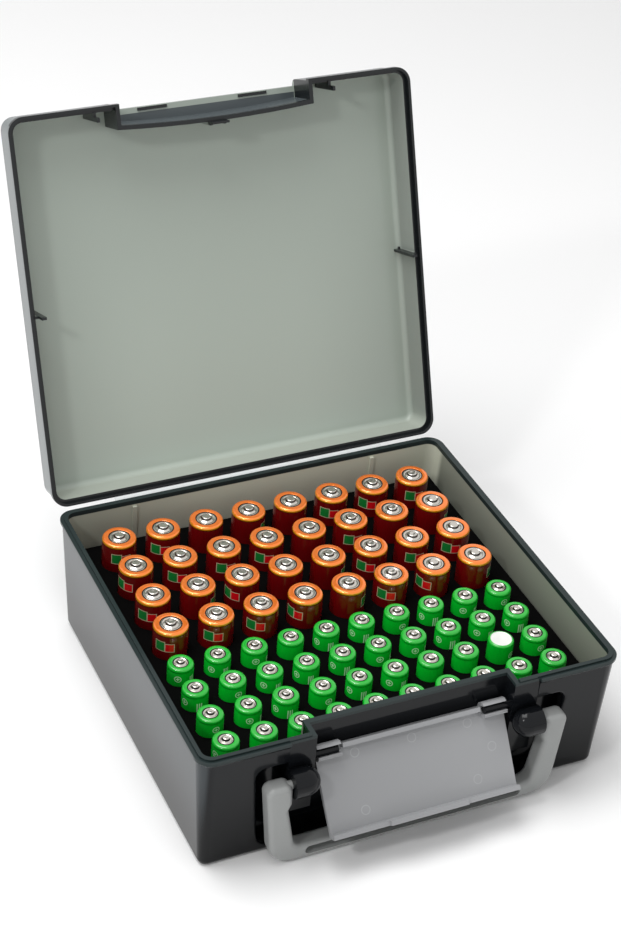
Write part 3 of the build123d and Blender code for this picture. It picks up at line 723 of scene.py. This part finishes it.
class BATTERYCASE_OT_film(bpy.types.Operator):
    """Make the bent film that joins the lid to the tub"""
    bl_idname = "battery_case.film"
    bl_label = "Hinge Film"

    def execute(self, context):
        case = context.scene.battery_case
        half, thick = case.film_half, case.film_thick
        # middle line of the film, from the tub's back edge to the lid's, as (y, z)
        path = ((0.08202, 0.05566), (0.08235, 0.05572), (0.08265, 0.05585), (0.08293, 0.05604),
                (0.08318, 0.05628), (0.08344, 0.05650), (0.08375, 0.05664), (0.08410, 0.05668))
        bm = bmesh.new()
        verts = [bm.verts.new((-half, y, z)) for y, z in path]
        edges = [bm.edges.new(pair) for pair in zip(verts, verts[1:])]
        made = bmesh.ops.extrude_edge_only(bm, edges=edges)
        moved = [v for v in made["geom"] if isinstance(v, bmesh.types.BMVert)]
        bmesh.ops.translate(bm, vec=(2 * half, 0, 0), verts=moved)
        bmesh.ops.recalc_face_normals(bm, faces=bm.faces)
        bmesh.ops.solidify(bm, geom=bm.faces[:], thickness=thick)
        bmesh.ops.recalc_face_normals(bm, faces=bm.faces)
        mesh = bpy.data.meshes.new("hinge_film")
        bm.to_mesh(mesh)
        bm.free()
        mesh.materials.append(film_plastic(case.film))
        mesh.shade_smooth()
        mesh.set_sharp_from_angle(angle=math.radians(45))
        film = bpy.data.objects.new("hinge_film", mesh)
        context.scene.collection.objects.link(film)
        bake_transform(film)
        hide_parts("hinge_film_tub_side", "hinge_film_lid_side")
        return {"FINISHED"}


class BATTERYCASE_OT_aa(bpy.types.Operator):
    """Make the rows of AA cells"""
    bl_idname = "battery_case.aa_cells"
    bl_label = "AA Cells"

    def execute(self, context):
        cells = context.scene.battery_cells
        radius, seat, shoulder = cells.aa_radius, cells.aa_seat, cells.aa_shoulder
        wraps = aa_jacket(cells), black_washer(cells.washer)
        # the second nickel, much darker, is painted shade on the nub's upright side
        metals = nickel_plate(cells.nickel), nickel_plate(shade(cells.nickel, 0.15))
        can = turned(can_profile(radius, seat, cells.aa_foot, shoulder), steps=40)
        cap = turned(cap_profile(cells.aa_plate, cells.aa_nub, shoulder, cells.aa_tip), steps=32)
        washers = in_seat(seat, shoulder)
        nubs = on_step(cells.aa_nub, shoulder, cells.aa_tip)

        dice = random.Random(12)
        for n in range(ROWS):
            node = "aa_cells_row_%d" % (n + 1)
            y = seat_of(node)[1]
            spots = row_spots(AA_IN_ROW, cells.aa_pitch, y)
            turns = [math.radians(LABEL_FRONT + dice.choice((-62, -40, -30, -12, 60, 150)))
                     for _ in spots]
            row = gather("aa_row_%d" % (n + 1), can, spots, wraps, washers, turns, radius)
            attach(row, "tub")
            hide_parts(node)
            caps = gather("aa_contacts_%d" % (n + 1), cap, spots, metals, nubs)
            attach(caps, "tub")
            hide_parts("aa_terminals_row_%d" % (n + 1))
        return {"FINISHED"}


class BATTERYCASE_OT_aaa(bpy.types.Operator):
    """Make the rows of AAA cells, with the one that stands upside down"""
    bl_idname = "battery_case.aaa_cells"
    bl_label = "AAA Cells"

    def execute(self, context):
        cells = context.scene.battery_cells
        radius, seat, shoulder = cells.aaa_radius, cells.aaa_seat, cells.aaa_shoulder
        wraps = aaa_jacket(cells), black_washer(cells.washer)
        # the second nickel, much darker, is painted shade on the nub's upright side
        metals = nickel_plate(cells.nickel), nickel_plate(shade(cells.nickel, 0.15))
        can = turned(can_profile(radius, seat, cells.aaa_foot, shoulder), steps=32)
        cap = turned(cap_profile(cells.aaa_plate, cells.aaa_nub, shoulder, cells.aaa_tip), steps=28)
        washers = in_seat(seat, shoulder)
        nubs = on_step(cells.aaa_nub, shoulder, cells.aaa_tip)
        lone_x, lone_y, low, high = seat_of("aaa_inverted_cell")

        dice = random.Random(7)
        for n in range(ROWS):
            node = "aaa_cells_row_%d" % (n + 1)
            y = seat_of(node)[1]
            spots = [s for s in row_spots(AAA_IN_ROW, cells.aaa_pitch, y)
                     if abs(s[0] - lone_x) > MM or abs(s[1] - lone_y) > MM]
            turns = [math.radians(LABEL_FRONT + dice.choice((-70, -50, -32, -15, 5, 120)))
                     for _ in spots]
            row = gather("aaa_row_%d" % (n + 1), can, spots, wraps, washers, turns, radius)
            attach(row, "tub")
            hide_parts(node)
            caps = gather("aaa_contacts_%d" % (n + 1), cap, spots, metals, nubs)
            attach(caps, "tub")
            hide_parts("aaa_terminals_row_%d" % (n + 1))

        lone = turned(inverted_profile(radius, low, high), steps=32)
        cell = gather("aaa_upside_down", lone, [(lone_x, lone_y)],
                      (wraps[0], steel_end(cells.steel)), on_end(radius, high),
                      [math.radians(-60)], radius)
        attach(cell, "tub")
        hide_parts("aaa_inverted_cell")
        return {"FINISHED"}


class BATTERYCASE_OT_stage(bpy.types.Operator):
    """Set up the floor, the light and the camera"""
    bl_idname = "battery_case.stage"
    bl_label = "Stage"

    def execute(self, context):
        scene, setup = context.scene, context.scene.battery_stage
        scene.view_settings.view_transform = "Standard"
        bm = bmesh.new()
        bmesh.ops.create_grid(bm, x_segments=1, y_segments=1, size=8.0)      # reaches 8 m out
        mesh = bpy.data.meshes.new("floor")
        bm.to_mesh(mesh)
        bm.free()
        floor = bpy.data.objects.new("floor", mesh)
        scene.collection.objects.link(floor)
        plain = Recipe("Pale floor", roughness=0.8)
        plain.paint(mottled(plain, setup.floor, 0.01, 3.0))
        mesh.materials.append(plain.mat)

        # the world is full white to the camera and in mirror images, and dimmer as a light
        world = bpy.data.worlds.new("Studio")
        scene.world = world
        world.use_nodes = True
        tree = world.node_tree
        back = tree.nodes["Background"]
        path = tree.nodes.new("ShaderNodeLightPath")
        seen = tree.nodes.new("ShaderNodeMath")
        seen.operation = "MAXIMUM"
        tree.links.new(path.outputs["Is Camera Ray"], seen.inputs[0])
        tree.links.new(path.outputs["Is Glossy Ray"], seen.inputs[1])
        level = tree.nodes.new("ShaderNodeMapRange")
        level.inputs["To Min"].default_value = 0.55
        level.inputs["To Max"].default_value = 1.0
        tree.links.new(seen.outputs[0], level.inputs["Value"])
        back.inputs["Color"].default_value = (1.0, 1.0, 1.0, 1.0)
        tree.links.new(level.outputs[0], back.inputs["Strength"])

        lit_point = Vector((0.0, 0.0, 0.06))
        spark_power = setup.lamp_power * 0.25
        for name, at, size, power in (("overhead", (-0.30, 0.20, 1.15), 0.7, setup.lamp_power),
                                      ("spark", (-0.75, -0.35, 0.85), 0.12, spark_power)):
            lamp = bpy.data.lights.new(name, "AREA")
            lamp.shape = "SQUARE"
            lamp.size = size
            lamp.energy = power
            holder = bpy.data.objects.new(name, lamp)
            holder.location = at
            aim = lit_point - Vector(at)
            holder.rotation_euler = aim.to_track_quat("-Z", "Y").to_euler()
            scene.collection.objects.link(holder)

        az, el, roll = setup.azimuth, setup.elevation, setup.roll
        away = Vector((math.sin(az) * math.cos(el), -math.cos(az) * math.cos(el), math.sin(el)))
        right = (-away).cross(Vector((0, 0, 1))).normalized()
        up = right.cross(-away)
        turned_right = math.cos(roll) * right + math.sin(roll) * up
        turned_up = -math.sin(roll) * right + math.cos(roll) * up
        lens = bpy.data.cameras.new("camera")
        lens.sensor_fit = "VERTICAL"
        lens.sensor_height = 24.0
        lens.lens = setup.lens
        lens.clip_start = 0.01
        camera = bpy.data.objects.new("camera", lens)
        pose = Matrix((turned_right, turned_up, away)).transposed().to_4x4()
        pose.translation = Vector(setup.aim) + away * setup.distance
        camera.matrix_world = pose
        scene.collection.objects.link(camera)
        scene.camera = camera
        return {"FINISHED"}


class BATTERYCASE_PT_panel(bpy.types.Panel):
    """Buttons for the battery case"""
    bl_idname = "BATTERYCASE_PT_panel"
    bl_label = "Battery Case"
    bl_space_type = "VIEW_3D"
    bl_region_type = "UI"
    bl_category = "Battery Case"

    def draw(self, context):
        for op in OPERATORS:
            self.layout.operator(op.bl_idname)


OPERATORS = (BATTERYCASE_OT_case, BATTERYCASE_OT_front, BATTERYCASE_OT_insert,
             BATTERYCASE_OT_film, BATTERYCASE_OT_aa, BATTERYCASE_OT_aaa, BATTERYCASE_OT_stage)
CLASSES = (BATTERYCASE_PG_case, BATTERYCASE_PG_cells, BATTERYCASE_PG_stage, *OPERATORS,
           BATTERYCASE_PT_panel)


def register():
    for cls in CLASSES:
        bpy.utils.register_class(cls)
    bpy.types.Scene.battery_case = bpy.props.PointerProperty(type=BATTERYCASE_PG_case)
    bpy.types.Scene.battery_cells = bpy.props.PointerProperty(type=BATTERYCASE_PG_cells)
    bpy.types.Scene.battery_stage = bpy.props.PointerProperty(type=BATTERYCASE_PG_stage)


def unregister():
    for name in ("battery_case", "battery_cells", "battery_stage"):
        delattr(bpy.types.Scene, name)
    for cls in reversed(CLASSES):
        bpy.utils.unregister_class(cls)


def main():
    register()
    bpy.ops.battery_case.case()
    bpy.ops.battery_case.front()
    bpy.ops.battery_case.insert()
    bpy.ops.battery_case.film()
    bpy.ops.battery_case.aa_cells()
    bpy.ops.battery_case.aaa_cells()
    bpy.ops.battery_case.stage()


if __name__ == "__main__":
    main()
